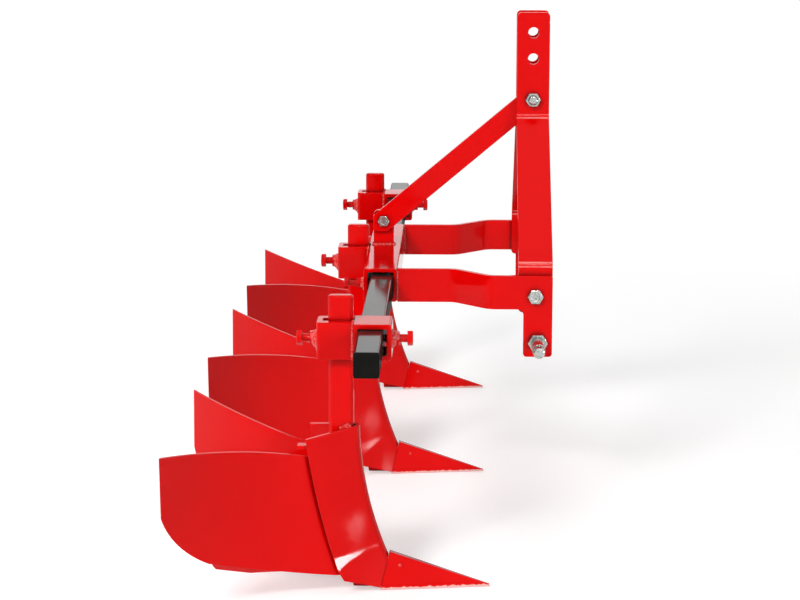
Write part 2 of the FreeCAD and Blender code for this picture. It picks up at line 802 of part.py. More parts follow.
def save_row(row, y, front_x):
    """The ridging body of one row, with its shank against front_x."""
    right_wing = wing()
    pieces = {"shank": shank(), "breast": breast(), "share": share(),
              "wing_right": right_wing, "wing_left": mirror_y(right_wing), "stay": stay()}
    for piece, shape in pieces.items():
        shape.translate(vec(front_x, y, 0))
        save(shape, row + "_" + piece)


def main():
    os.makedirs("parts", exist_ok=True)
    save(toolbar_tube(), "toolbar_tube")
    save(centre_sleeve(), "centre_sleeve")
    save(brace_lug(), "brace_lug")
    save(brace(), "mast_brace")
    save(mast_spacer(), "mast_spacer")
    save(mast_bolt(), "mast_bolt")
    save(brace_bolt(), "brace_bolt")

    pairs = {"end_cap": end_cap, "lower_arm": lower_arm, "mast_bar": mast_bar,
             "foot_bolt": foot_bolt, "lower_link_pin": lower_link_pin}
    for name, make in pairs.items():
        right = make()
        save(right, name + "_right")
        save(mirror_y(right), name + "_left")
    for side, y in zip(("right", "left"), sleeve_bolt_places()):
        save(sleeve_set_bolt(y), "sleeve_set_bolt_" + side)

    rows = (("right", -row_spacing, clamp_back), ("middle", 0.0, sleeve_back),
            ("left", row_spacing, clamp_back))
    for row, y, front_x in rows:
        fixed = {"shank_holder": shank_holder(front_x), "shank_set_bolt": shank_set_bolt(front_x)}
        if row != "middle":
            fixed["clamp"] = clamp()
            fixed["clamp_set_bolt"] = clamp_set_bolt()
        for piece, shape in fixed.items():
            shape.translate(vec(0, y, 0))
            save(shape, row + "_" + piece)
        save_row(row, y, front_x)


main()
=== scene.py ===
import json
import math

import bmesh
import bpy
from mathutils import Matrix, Vector, noise
from mathutils.bvhtree import BVHTree


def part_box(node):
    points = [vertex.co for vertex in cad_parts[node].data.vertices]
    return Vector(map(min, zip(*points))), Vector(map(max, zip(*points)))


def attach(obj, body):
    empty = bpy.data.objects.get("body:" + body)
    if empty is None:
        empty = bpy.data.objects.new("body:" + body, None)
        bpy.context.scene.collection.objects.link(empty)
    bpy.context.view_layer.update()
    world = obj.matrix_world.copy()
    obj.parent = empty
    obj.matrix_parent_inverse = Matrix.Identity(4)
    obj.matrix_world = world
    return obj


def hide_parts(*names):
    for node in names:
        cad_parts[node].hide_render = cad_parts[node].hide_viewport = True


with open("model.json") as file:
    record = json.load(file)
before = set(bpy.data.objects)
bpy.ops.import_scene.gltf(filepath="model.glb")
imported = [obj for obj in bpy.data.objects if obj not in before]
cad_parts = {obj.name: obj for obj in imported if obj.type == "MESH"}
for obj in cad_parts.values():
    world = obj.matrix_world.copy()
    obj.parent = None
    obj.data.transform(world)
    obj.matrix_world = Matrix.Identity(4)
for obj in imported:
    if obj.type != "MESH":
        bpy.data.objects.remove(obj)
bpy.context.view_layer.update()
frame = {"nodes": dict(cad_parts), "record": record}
cadNodes = frame["nodes"]
bodyOfNode = {name: body for body, names in frame["record"]["behaviour"]["bodies"].items()
              for name in names}
slotOfNode = {part["node"]: part["material_slot"] for part in frame["record"]["subparts"]}
rows = ("right", "middle", "left")
mm = 0.001
sameSpot = 1e-6                  # points nearer than this are one
xWay, yWay, zWay = (Vector(way) for way in ((1, 0, 0), (0, 1, 0), (0, 0, 1)))
print("frame loaded:", len(cadNodes), "nodes")


def bothWays(operation):         # an operator on wires, and its reflected form
    return (lambda wire, other: wire.calc(operation, wire, other),
            lambda wire, other: wire.calc(operation, other, wire))


class Wire:                      # an output socket that takes part in sums
    def __init__(self, graph, socket):
        self.graph, self.socket = graph, socket

    def calc(self, operation, *values):
        return self.graph.node("ShaderNodeMath", {"operation": operation},
                               dict(enumerate(values)))

    __add__, __radd__ = bothWays("ADD")
    __sub__, __rsub__ = bothWays("SUBTRACT")
    __mul__, __rmul__ = bothWays("MULTIPLY")
    __truediv__, __rtruediv__ = bothWays("DIVIDE")

    def clamped(self):
        made = self.calc("ADD", self, 0.0)
        made.socket.node.use_clamp = True
        return made

    def ramp(self, low, high):   # 0 below low, 1 above high, smooth between
        return self.graph.node("ShaderNodeMapRange", {"interpolation_type": "SMOOTHSTEP"},
                               {"Value": self, "From Min": low, "From Max": high})

    def bell(self, width):       # 1 at 0, falling to nothing on both sides
        steep = self / width
        return self.calc("EXPONENT", steep * steep * -1.0)

    def cut(self, look):         # kept to a range, and as strong as its share
        return self.ramp(look["from"], look["to"]) * look["share"]


softLook = {"samples": 4, "edgeFrom": 0.02, "edgeTo": 0.30, "gapSamples": 6, "gapTo": 0.95}


class Graph:                     # makes and joins the nodes of one tree
    def __init__(self, tree):
        self.tree = tree

    def node(self, kind, settings=None, values=None, output=0):
        made = self.tree.nodes.new(kind)
        for name, value in (settings or {}).items():
            setattr(made, name, value)
        for key, value in (values or {}).items():
            self.give(made.inputs[key], value)
        return Wire(self, made.outputs[output]) if made.outputs else made

    def give(self, socket, value):
        if isinstance(value, Wire):
            self.tree.links.new(value.socket, socket)
        else:
            socket.default_value = value

    def mix(self, factor, first, second):
        made = self.node("ShaderNodeMix", {"data_type": "RGBA"}).socket.node
        for index, value in ((0, factor), (6, first), (7, second)):   # its sockets for colours
            self.give(made.inputs[index], value)
        return Wire(self, made.outputs[2])

    def noise(self, place, look):
        return self.node("ShaderNodeTexNoise", {}, {"Vector": place, "Scale": look["scale"],
                                                    "Detail": look["detail"]})

    def layer(self, place, look):            # a noise kept to its range and share
        return self.noise(place, look).cut(look)

    def place(self):
        return self.node("ShaderNodeTexCoord", output="Object")

    def normal(self):
        return self.node("ShaderNodeNewGeometry", output="Normal")

    def parts(self, vector):     # the x, y and z of a vector
        made = self.node("ShaderNodeSeparateXYZ", {}, {"Vector": vector}).socket.node
        return [Wire(self, socket) for socket in made.outputs]

    def softEdges(self, radius):  # normals rounded over the edges, and a mask of those edges for painted edge highlights
        rounded = self.node("ShaderNodeBevel", {"samples": softLook["samples"]},
                            {"Radius": radius})
        agree = self.node("ShaderNodeVectorMath", {"operation": "DOT_PRODUCT"},
                          {0: rounded, 1: self.normal()}, "Value")
        return rounded, (1.0 - agree).ramp(softLook["edgeFrom"], softLook["edgeTo"])

    def gaps(self, reach, start):  # mask for painted shade: 1 in gaps and inside corners, 0 in the open
        clear = self.node("ShaderNodeAmbientOcclusion", {"samples": softLook["gapSamples"]},
                          {"Distance": reach}, "AO")
        return 1.0 - clear.ramp(start, softLook["gapTo"])

    def bump(self, height, normal=None):
        values = {"Strength": 1.0, "Distance": 1.0, "Height": height}
        if normal:
            values["Normal"] = normal
        return self.node("ShaderNodeBump", {}, values)


def newMaterial(name):
    material = bpy.data.materials.new(name)
    material.use_nodes = True
    material.node_tree.nodes.clear()
    return material, Graph(material.node_tree)


def finishMaterial(graph, fixed, varying):
    surface = graph.node("ShaderNodeBsdfPrincipled", {}, {**fixed, **varying})
    graph.node("ShaderNodeOutputMaterial", {}, {"Surface": surface})


paintLook = {
    "colour": (0.745, 0.0012, 0.0014, 1.0),
    "deepColour": (0.680, 0.0008, 0.0010, 1.0),
    "shadeColour": (0.060, 0.0010, 0.0010, 1.0),  # painted shade, dark in gaps and inside corners
    "shadeReach": 0.012,
    "shadeFrom": 0.30,
    "gapShade": 0.85,
    "littleShade": 0.25,                         # less painted shade for small parts, which are shut in all round
    "edgeHighlightColour": (0.82, 0.095, 0.085, 1.0),     # painted highlight, paler along the rounded edges
    "edgeRadius": 0.0011,
    "edgeHighlightShare": 0.25,
    "edgeHighlightMottle": 0.5,
    "gloss": 0.085,
    "bending": 1.20,
    "cloud": {"scale": 5.0, "detail": 3.0, "from": 0.38, "to": 0.68, "share": 0.6},
    "mottle": {"scale": 70.0, "detail": 4.0, "from": 0.55, "to": 0.80, "share": 0.05},
    "specks": {"scale": 700.0, "detail": 1.0, "from": 0.72, "to": 0.80, "share": 0.12},
    "peel": {"scale": 320.0, "detail": 2.0, "depth": 0.000016},
    "wave": {"scale": 22.0, "detail": 1.0, "depth": 0.00016},
    "lumps": {"scale": 420.0, "detail": 3.0},
}


def redPaint(name, wearAndHighlights=None, lumps=0.0, gapShade=paintLook["gapShade"]):
    # the function given here changes the colour and the roughness; it paints real wear on the
    # share and painted highlights on the welds and the mast's bends
    look = paintLook
    material, graph = newMaterial(name)
    place = graph.place()
    rounded, edge = graph.softEdges(look["edgeRadius"])
    mottle = graph.noise(place, look["mottle"])
    colour = graph.mix(graph.layer(place, look["cloud"]), look["colour"], look["deepColour"])
    # painted highlight along the rounded edges
    colour = graph.mix(edge * (look["edgeHighlightShare"] + mottle * look["edgeHighlightMottle"]), colour,
                       look["edgeHighlightColour"])
    # painted shade: darker where the occlusion mask finds gaps and inside corners
    colour = graph.mix(graph.gaps(look["shadeReach"], look["shadeFrom"]) * gapShade, colour,
                       look["shadeColour"])
    rough = look["gloss"] + mottle.cut(look["mottle"]) + graph.layer(place, look["specks"])
    height = (graph.noise(place, look["peel"]) * look["peel"]["depth"]
              + graph.noise(place, look["wave"]) * look["wave"]["depth"])
    if lumps:
        height = height + graph.noise(place, look["lumps"]) * lumps
    if wearAndHighlights:
        colour, rough = wearAndHighlights(graph, place, colour, rough)
    finishMaterial(graph, {"IOR": look["bending"]}, {
        "Base Color": colour, "Roughness": rough, "Normal": graph.bump(height, rounded)})
    return material


paint = redPaint("red_gloss_paint")

hazeLook = {"x": -0.017, "z": 0.096, "wide": 0.015, "high": 0.031,
            "spray": {"scale": 60.0, "detail": 2.0, "from": 0.15, "to": 0.50, "share": 0.25}}


def breastHaze(graph, place, colour, rough):
    # a patch of dry spray above the crease, which spreads the light
    x, _, z = graph.parts(place)
    patch = ((x - hazeLook["x"]).bell(hazeLook["wide"])
             * (z - hazeLook["z"]).bell(hazeLook["high"]))
    return colour, rough + patch * graph.layer(place, hazeLook["spray"])


breastPaint = redPaint("red_breast_paint", breastHaze)

shareLook = {"worn": (0.84, 0.56, 0.52, 1.0), "wornHeight": 0.0036, "wornBlend": 0.0008,
             "wornRagged": 0.006, "wornShare": 0.85, "wornRough": 0.35,
             "ridge": (0.36, 0.13, 0.15, 1.0), "ridgeFrom": 0.70, "ridgeTo": 0.86,
             "ridgeShare": 0.65, "ridgeFlecks": 0.5, "ridgeRough": 0.05,
             "flecks": {"scale": 160.0, "detail": 4.0}}


def shareWear(graph, place, colour, rough):
    # the paint has gone from the cutting edge and is rubbed grey along the ridge
    look = shareLook
    z = graph.parts(place)[2]
    upward = graph.parts(graph.normal())[2]
    flecks = graph.noise(place, look["flecks"])
    ragged = z + (flecks - 0.5) * look["wornRagged"]
    worn = 1.0 - ragged.ramp(look["wornHeight"] - look["wornBlend"],
                             look["wornHeight"] + look["wornBlend"])
    ridge = (upward.ramp(look["ridgeFrom"], look["ridgeTo"])
             * (look["ridgeShare"] + flecks * look["ridgeFlecks"]).clamped())
    colour = graph.mix(ridge, colour, look["ridge"])
    colour = graph.mix(worn * look["wornShare"], colour, look["worn"])
    return colour, rough + worn * look["wornRough"] + ridge * look["ridgeRough"]


sharePaint = redPaint("red_share_paint", shareWear)
boltPaint = redPaint("red_bolt_paint", gapShade=paintLook["littleShade"])

# pale is the colour of the painted glints on the weld ripples
rippleLook = {"pale": (0.84, 0.19, 0.17, 1.0), "lumps": 0.00026,
              "glints": {"scale": 330.0, "detail": 3.0, "from": 0.38, "to": 0.60, "share": 0.75}}


def weldGlints(graph, place, colour, rough):   # painted highlights, pale glints spread at random over the ripples
    return graph.mix(graph.layer(place, rippleLook["glints"]), colour, rippleLook["pale"]), rough


weldPaint = redPaint("red_weld_paint", weldGlints, rippleLook["lumps"], paintLook["littleShade"])

# the heights of the mast's bends, where pale lines are painted as highlights
bendHighlightLook = {"heights": (0.6865, 0.4615, 0.4545), "width": 0.0010,
            "pale": (0.86, 0.30, 0.27, 1.0), "least": 0.55,
            "broken": {"scale": 90.0, "detail": 2.0, "from": 0.30, "to": 0.50, "share": 0.4}}


def bendHighlights(graph, place, colour, rough):
    # painted highlights: pale lines across the bar at the press brake's bends
    z = graph.parts(place)[2]
    first, second, third = [(z - height).bell(bendHighlightLook["width"])
                            for height in bendHighlightLook["heights"]]
    broken = graph.layer(place, bendHighlightLook["broken"]) + bendHighlightLook["least"]
    marked = (first + second + third).clamped() * broken
    return graph.mix(marked, colour, bendHighlightLook["pale"]), rough


mastPaint = redPaint("red_mast_paint", bendHighlights)

zincLook = {
    "colour": (0.50, 0.53, 0.52, 1.0),
    "warm": (0.52, 0.47, 0.33, 1.0),
    "dull": (0.10, 0.10, 0.095, 1.0),
    # painted highlight along the rounded edges
    "bare": (0.86, 0.86, 0.84, 1.0),
    # painted shade in gaps and inside corners
    "gapShadeColour": (0.025, 0.025, 0.022, 1.0),
    "gapReach": 0.006,
    "gapFrom": 0.25,
    "gapShadeShare": 0.9,
    "edgeRadius": 0.0006,
    "edgeHighlightShare": 0.8,
    "roughness": 0.10,
    "cloudRough": 0.18,
    "grainDepth": 0.00002,
    "patchDepth": 0.00012,
    "cloud": {"scale": 110.0, "detail": 3.0, "from": 0.45, "to": 0.75, "share": 0.7},
    "patches": {"scale": 330.0, "detail": 2.0, "from": 0.52, "to": 0.70, "share": 0.45},
    "grain": {"scale": 1400.0, "detail": 2.0, "from": 0.60, "to": 0.80, "share": 0.4},
}


def zincFinish():
    look = zincLook
    material, graph = newMaterial("zinc_plate")
    place = graph.place()
    rounded, edge = graph.softEdges(look["edgeRadius"])
    cloud, patches, grain = (graph.noise(place, look[kind])
                             for kind in ("cloud", "patches", "grain"))
    colour = graph.mix(cloud.cut(look["cloud"]), look["colour"], look["warm"])
    colour = graph.mix(patches.cut(look["patches"]), colour, look["dull"])
    colour = graph.mix(grain.cut(look["grain"]), colour, look["dull"])
    # painted highlight along the edges
    colour = graph.mix(edge * look["edgeHighlightShare"], colour, look["bare"])
    # painted shade in gaps
    colour = graph.mix(graph.gaps(look["gapReach"], look["gapFrom"]) * look["gapShadeShare"], colour,
                       look["gapShadeColour"])
    height = grain * look["grainDepth"] + patches * look["patchDepth"]
    finishMaterial(graph, {"Metallic": 1.0}, {
        "Base Color": colour, "Normal": graph.bump(height, rounded),
        "Roughness": cloud * look["cloudRough"] + look["roughness"]})
    return material


zinc = zincFinish()

tubeLook = {
    "colour": (0.018, 0.0150, 0.0138, 1.0),
    "scuff": (0.150, 0.100, 0.090, 1.0),
    "bending": 1.0,
    "roughness": 0.20,
    "drawnRough": 0.05,
    "coatRoughness": 0.10,
    "lacquer": 0.62,             # on the top; the clamps rub it off the sides
    "rubbed": 0.10,
    "topFrom": 0.3,
    "topTo": 0.8,
    "stretch": (60.0, 3.0, 60.0),
    "drawn": {"scale": 6.0, "detail": 3.0, "depth": 0.000005},
    "spots": {"scale": 420.0, "detail": 2.0, "depth": 0.000004,
              "from": 0.64, "to": 0.78, "share": 0.4},
    "roughSpots": {"from": 0.66, "to": 0.80, "share": 0.12},
    "cloud": {"scale": 24.0, "detail": 3.0, "from": 0.42, "to": 0.80, "share": 0.28},
}


def tubeFinish():
    look = tubeLook
    material, graph = newMaterial("black_tube_paint")
    place = graph.place()
    stretched = graph.node("ShaderNodeMapping", {}, {"Vector": place, "Scale": look["stretch"]})
    drawn = graph.noise(stretched, look["drawn"])
    spots = graph.noise(place, look["spots"])
    colour = graph.mix(spots.cut(look["spots"]), look["colour"], look["scuff"])
    colour = graph.mix(graph.layer(place, look["cloud"]), colour, look["scuff"])
    height = drawn * look["drawn"]["depth"] + spots * look["spots"]["depth"]
    top = graph.parts(graph.normal())[2].ramp(look["topFrom"], look["topTo"])
    rough = drawn * look["drawnRough"] + spots.cut(look["roughSpots"]) + look["roughness"]
    finishMaterial(graph, {"IOR": look["bending"], "Coat Roughness": look["coatRoughness"]}, {
        "Base Color": colour, "Normal": graph.bump(height), "Roughness": rough,
        "Coat Weight": top * (look["lacquer"] - look["rubbed"]) + look["rubbed"]})
    return material


tubePaint = tubeFinish()

capLook = {
    "colour": (0.0045, 0.0045, 0.0036, 1.0),
    "pale": (0.009, 0.0092, 0.008, 1.0),
    "bending": 1.15,
    "roughness": 0.40,
    "grainRough": 0.12,
    "grainDepth": 0.00003,
    "edgeRadius": 0.0012,
    "edgeHighlightShare": 0.4,
    "grain": {"scale": 1500.0, "detail": 2.0},
    "cloud": {"scale": 40.0, "detail": 2.0, "from": 0.40, "to": 0.80, "share": 0.6},
}


def capFinish():
    look = capLook
    material, graph = newMaterial("black_cap_plastic")
    place = graph.place()
    rounded, edge = graph.softEdges(look["edgeRadius"])
    grain = graph.noise(place, look["grain"])
    # paler in random clouds, and a painted highlight along the rounded edges
    pale = graph.layer(place, look["cloud"]) + edge * look["edgeHighlightShare"]
    finishMaterial(graph, {"IOR": look["bending"]}, {
        "Base Color": graph.mix(pale, look["colour"], look["pale"]),
        "Normal": graph.bump(grain * look["grainDepth"], rounded),
        "Roughness": grain * look["grainRough"] + look["roughness"]})
    return material


capPlastic = capFinish()
finishOfSlot = {"red_paint": paint, "zinc": zinc, "dark_tube": tubePaint,
                "black_plastic": capPlastic}
print("finishes made")


def newObject(name, data):
    made = bpy.data.objects.new(name, data)
    bpy.context.scene.collection.objects.link(made)
    return made


def addPiece(name, mesh, body, slot, *replaced):
    piece = newObject(name, mesh)
    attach(piece, body)
    if replaced:
        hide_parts(*replaced)


def finishedPiece(nodeName, mesh):           # takes the place of the CAD node
    addPiece(nodeName + "_finished", mesh, bodyOfNode[nodeName], slotOfNode[nodeName], nodeName)


def evaluatedMesh(working):
    bpy.context.view_layer.update()
    graph = bpy.context.evaluated_depsgraph_get()
    mesh = bpy.data.meshes.new_from_object(working.evaluated_get(graph))
    bpy.data.objects.remove(working)
    return mesh


def corners(nodeName):           # of the node's box, in millimetres
    low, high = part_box(nodeName)
    return [c / mm for c in low], [c / mm for c in high]


def halfway(low, high, axis):
    return (low[axis] + high[axis]) / 2


def mergedCopy(nodeName):
    work = bmesh.new()
    work.from_mesh(cadNodes[nodeName].data)
    bmesh.ops.remove_doubles(work, verts=work.verts, dist=sameSpot)
    return work


def sharpen(work, degrees):      # edges that turn by more stay crisp
    for face in work.faces:
        face.smooth = True
    for edge in work.edges:
        edge.smooth = (len(edge.link_faces) == 2
                       and edge.calc_face_angle(0.0) < math.radians(degrees))


def asMesh(work, name, material):
    mesh = bpy.data.meshes.new(name)
    work.to_mesh(mesh)
    work.free()
    mesh.materials.append(material)
    return mesh


sheetAngle = 30.0


def keepSolid(nodeName, material=None):      # smooth where it is curved, crisp at its edges
    work = mergedCopy(nodeName)
    sharpen(work, sheetAngle)
    material = material or finishOfSlot[slotOfNode[nodeName]]
    finishedPiece(nodeName, asMesh(work, nodeName + "_finished", material))


creaseLook = {
    "top": 0.0655,               # height of the upper edge at "middle", and its rise forwards
    "middle": -0.042,
    "rise": 0.16,
    "slope": 0.112,
    "tip": 0.0042,               # the slope's height at x = 0, and how it grows rearwards
    "opening": 0.30,
    "flare": 6.0,
    "sharpShare": 0.55,          # one ramp, and a second lower and shorter one to soften it
    "softDrop": 0.004,
    "softLength": 0.75,
    "unevenScale": 30.0,
    "uneven": 0.004,
    "swellRise": 0.026,          # the slight swelling above, between two places along x
    "swellDepth": 0.0013,
    "swellWidth": 0.030,
    "from": -0.098,
    "fullFrom": -0.086,
    "fullTo": -0.010,
    "to": 0.030,
    "foldFrom": 0.006,           # the fold at the front stays straight
    "foldTo": 0.016,
    "lean": 0.87,                # how much of the flank's normal is along y
    "grid": 0.003,
    "gridTop": 0.140,
    "reach": 0.0015,             # the distance that a slope is measured over
}


def smoothly(value, low, high):
    part = min(max((value - low) / (high - low), 0.0), 1.0)
    return part * part * (3.0 - 2.0 * part)


def pressedOut(place, middle):   # how far along y the plate is pressed out at a place
    look = creaseLook
    below = (look["top"] + (place.x - look["middle"]) * look["rise"] - place.z
             + noise.noise(place * look["unevenScale"]) * look["uneven"])
    behind = max(-place.x, 0.0)
    opening = behind * behind * look["flare"] + behind * look["opening"] + look["tip"]
    step = (min(max(below, 0.0), opening) * look["sharpShare"]
            + min(max(below - look["softDrop"], 0.0), opening * look["softLength"])
            * (1.0 - look["sharpShare"]))
    swelling = math.exp(-((below + look["swellRise"]) / look["swellWidth"]) ** 2)
    along = (smoothly(place.x, look["from"], look["fullFrom"])
             * (1.0 - smoothly(place.x, look["fullTo"], look["to"])))
    out = step * look["slope"] + swelling * look["swellDepth"] * along
    side = place.y - middle
    fold = smoothly(abs(side), look["foldFrom"], look["foldTo"])
    return math.copysign(out * fold / look["lean"], side)


def cutAcross(work, axis, start, stop):
    step = creaseLook["grid"]
    for count in range(1, int((stop - start) / step)):
        bmesh.ops.bisect_plane(work, geom=work.verts[:] + work.edges[:] + work.faces[:],
                               dist=sameSpot, plane_co=axis * (start + count * step),
                               plane_no=axis)


def pressedBreast(nodeName):
    # the flanks are pressed outwards across the foot in a wedge that opens to the rear; a fine
    # grid carries it, and each corner keeps the bent plate's normal, turned by the pressing
    work = mergedCopy(nodeName)
    sharpen(work, sheetAngle)
    name = nodeName + "_finished"
    even = asMesh(work, name + "_even", breastPaint)
    kept = even.attributes.new("evenNormal", "FLOAT_VECTOR", "CORNER")
    kept.data.foreach_set("vector", [part for corner in even.corner_normals
                                     for part in corner.vector])
    work = bmesh.new()
    work.from_mesh(even)
    bpy.data.meshes.remove(even)
    low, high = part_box(nodeName)
    cutAcross(work, xWay, low[0], high[0])
    cutAcross(work, zWay, low[2], creaseLook["gridTop"])
    mesh = asMesh(work, name, breastPaint)
    middle = halfway(low, high, 1)
    reach = creaseLook["reach"]
    slopes, moved = [], []
    for vert in mesh.vertices:
        slopes.append([(pressedOut(vert.co + way * reach, middle)
                        - pressedOut(vert.co - way * reach, middle)) / (2 * reach)
                       for way in (xWay, yWay, zWay)])
        moved.append(pressedOut(vert.co, middle))
    normals = []
    for corner, bent in zip(mesh.loops, mesh.attributes["evenNormal"].data):
        n, (fx, fy, fz) = bent.vector, slopes[corner.vertex_index]
        normals.append(Vector((n.x - n.y * fx, n.y * (1 - fy), n.z - n.y * fz)).normalized())
    for vert, out in zip(mesh.vertices, moved):
        vert.co.y += out
    mesh.attributes.remove(mesh.attributes["evenNormal"])
    mesh.normals_split_custom_set(normals)
    finishedPiece(nodeName, mesh)


edgeLook = {"width": 0.9, "angle": 32.0, "segments": 2, "flatAngle": 0.3, "nutMargin": 0.2,
            "flatWeight": 100}               # flat faces decide the normals at 100
edgeWidths = {"end_cap": 0.6, "spacer": 0.4, "stay": 0.6, "centre_sleeve": 0.8}
nutLength = {"big": 12.0, "small": 13.0}     # of the nuts welded on for the set bolts
nutFaces = {"clamp": nutLength["big"], "shank_holder": -nutLength["big"],   # minus to the rear
            "centre_sleeve": -nutLength["small"]}


def onNut(edge, nut, low, high):             # whether an edge is one of the welded nut's
    places = [vert.co.x / mm for vert in edge.verts]
    if nut > 0:
        return max(places) > high[0] - nut + edgeLook["nutMargin"]
    return min(places) < low[0] - nut - edgeLook["nutMargin"]


def roundSolid(nodeName, material=None):     # the outer edges of a plate or block rounded
    width = next((value for word, value in edgeWidths.items() if word in nodeName),
                 edgeLook["width"])
    nut = next((value for word, value in nutFaces.items() if nodeName.endswith(word)), None)
    low, high = corners(nodeName)
    work = mergedCopy(nodeName)
    bmesh.ops.dissolve_limit(work, angle_limit=math.radians(edgeLook["flatAngle"]),
                             verts=work.verts, edges=work.edges)
    sharpen(work, edgeLook["angle"])
    weight = work.edges.layers.float.new("bevel_weight_edge")
    for edge in work.edges:
        kept = nut is not None and onNut(edge, nut, low, high)
        if not edge.smooth and edge.is_convex and not kept:
            edge[weight] = 1.0
            edge.smooth = True
    material = material or finishOfSlot[slotOfNode[nodeName]]
    mesh = asMesh(work, nodeName + "_finished", material)
    working = newObject("working", mesh)
    bevel = working.modifiers.new("edges", "BEVEL")
    bevel.width = width * mm
    bevel.segments = edgeLook["segments"]
    bevel.limit_method = "WEIGHT"
    bevel.use_clamp_overlap = False
    bevel.miter_outer = "MITER_ARC"
    even = working.modifiers.new("even", "WEIGHTED_NORMAL")
    even.keep_sharp = True
    even.weight = edgeLook["flatWeight"]
    finishedPiece(nodeName, evaluatedMesh(working))


for nodeName in cadNodes:
    if "bolt" in nodeName:
        continue
    if "breast" in nodeName:
        pressedBreast(nodeName)
    elif "share" in nodeName:
        keepSolid(nodeName, sharePaint)
    elif "wing" in nodeName or "link_pin" in nodeName or nodeName == "toolbar_tube":
        keepSolid(nodeName)
    elif "mast_bar" in nodeName:
        roundSolid(nodeName, mastPaint)
    else:
        roundSolid(nodeName)
print("plates, blocks and sheets finished")


def runTree(name, tree, mesh, values):
    working = newObject(name, mesh)
    modifier = working.modifiers.new("tree", "NODES")
    modifier.node_group = tree
    for socket in tree.interface.items_tree:
        if socket.in_out == "INPUT" and socket.name in values:
            modifier[socket.identifier] = values[socket.name]
    return evaluatedMesh(working)


def newTree(name, inputs, output):
    tree = bpy.data.node_groups.new(name, "GeometryNodeTree")
    for title, kind in inputs:
        tree.interface.new_socket(title, in_out="INPUT", socket_type="NodeSocket" + kind)
    tree.interface.new_socket(output, in_out="OUTPUT", socket_type="NodeSocketGeometry")
    graph = Graph(tree)
    given = graph.node("NodeGroupInput").socket.node
    return tree, graph, {socket.name: Wire(graph, socket) for socket in given.outputs}


def endTree(graph, laid, finish, output):
    solid = graph.node("GeometryNodeRealizeInstances", {}, {"Geometry": laid})
    smooth = graph.node("GeometryNodeSetShadeSmooth", {}, {"Geometry": solid})
    done = graph.node("GeometryNodeSetMaterial", {}, {"Geometry": smooth, "Material": finish})
    graph.node("NodeGroupOutput", {}, {output: done})


threadLook = {"around": 20, "ridge": 5}


def threadTree():
    tree, graph, given = newTree("screwThread", (
        ("Radius", "Float"), ("Length", "Float"), ("Pitch", "Float"), ("Depth", "Float"),
        ("Finish", "Material")), "Thread")
    middle = given["Radius"] - given["Depth"]
    helix = graph.node("GeometryNodeCurveSpiral", {}, {
        "Resolution": threadLook["around"], "Rotations": given["Length"] / given["Pitch"],
        "Start Radius": middle, "End Radius": middle, "Height": given["Length"]})
    ridge = graph.node("GeometryNodeCurvePrimitiveCircle", {"mode": "RADIUS"},
                       {"Resolution": threadLook["ridge"], "Radius": given["Depth"]})
    laid = graph.node("GeometryNodeCurveToMesh", {}, {
        "Curve": helix, "Profile Curve": ridge, "Fill Caps": True})
    endTree(graph, laid, given["Finish"], "Thread")
    return tree


screwThread = threadTree()

hexLook = {"face": 0.95, "chamfer": 30.0, "sinkOut": 0.9, "sinkIn": 0.6, "sinkDepth": 1.6,
           "dimpleRim": 0.66, "dimpleFloor": 0.56, "dimpleDepth": 0.7, "turns": 48}


def hexRadius(flats):                        # radius of a hexagon with a corner at turn 0
    return lambda turn: flats / 2 / math.cos(turn % (math.pi / 3) - math.pi / 6)


def flat(number):
    return lambda turn: number


def hexRows(flats, near, far, chamfers, bore=None):   # rows of a head or nut, corners turned off
    radius, face = hexRadius(flats), flats / 2 * hexLook["face"]

    def fall(turn):
        return (radius(turn) - face) * math.tan(math.radians(hexLook["chamfer"]))

    nearRows = [(flat(near), flat(face)), (lambda turn: near + fall(turn), radius)]
    farRows = [(lambda turn: far - fall(turn), radius), (flat(far), flat(face))]
    made = nearRows if chamfers[0] else [(flat(near), radius)]
    made += farRows if chamfers[1] else [(flat(far), radius)]
    if bore:                                 # a nut's countersink round the bolt
        made += [(flat(far), flat(bore + hexLook["sinkOut"])),
                 (flat(far - hexLook["sinkDepth"]), flat(bore - hexLook["sinkIn"]))]
    return made


def dimpleRows(flats, far, outward):         # the forged hollow in a bolt's head
    face = flats / 2 * hexLook["face"]
    return [(flat(far), flat(face * hexLook["dimpleRim"])),
            (flat(far - hexLook["dimpleDepth"] * outward), flat(face * hexLook["dimpleFloor"]))]


def rodRows(radius, near, far, chamfer):
    return [(flat(place), flat(reach)) for place, reach in (
        (near, radius - chamfer), (near + chamfer, radius), (far - chamfer, radius),
        (far, radius - chamfer))]


def joinRings(work, rings):                  # a closed skin over even rings
    count = len(rings[0])
    for low, high in zip(rings, rings[1:]):
        for step in range(count):
            after = (step + 1) % count
            work.faces.new((low[step], low[after], high[after], high[step]))
    work.faces.new(rings[0][::-1])
    work.faces.new(rings[-1])


def turned(work, start, along, cornerWay, rowsMade):
    # a closed solid round a line, from rows of functions of the turn
    side = along.cross(cornerWay)
    rings = []
    for place, radius in rowsMade:
        ring = []
        for step in range(hexLook["turns"]):
            turn = math.tau * step / hexLook["turns"]
            out = cornerWay * math.cos(turn) + side * math.sin(turn)
            ring.append(work.verts.new((start + along * place(turn) + out * radius(turn)) * mm))
        rings.append(ring)
    joinRings(work, rings)


def layThread(work, start, along, radius, length, pitch, depth, material):
    mesh = runTree("thread", screwThread, bpy.data.meshes.new("empty"), {
        "Radius": radius * mm, "Length": length * mm, "Pitch": pitch * mm, "Depth": depth * mm,
        "Finish": material})
    mesh.transform(Matrix.Translation(start * mm)
                   @ zWay.rotation_difference(along).to_matrix().to_4x4())
    work.from_mesh(mesh)
    bpy.data.meshes.remove(mesh)


crispBolt = 28.0


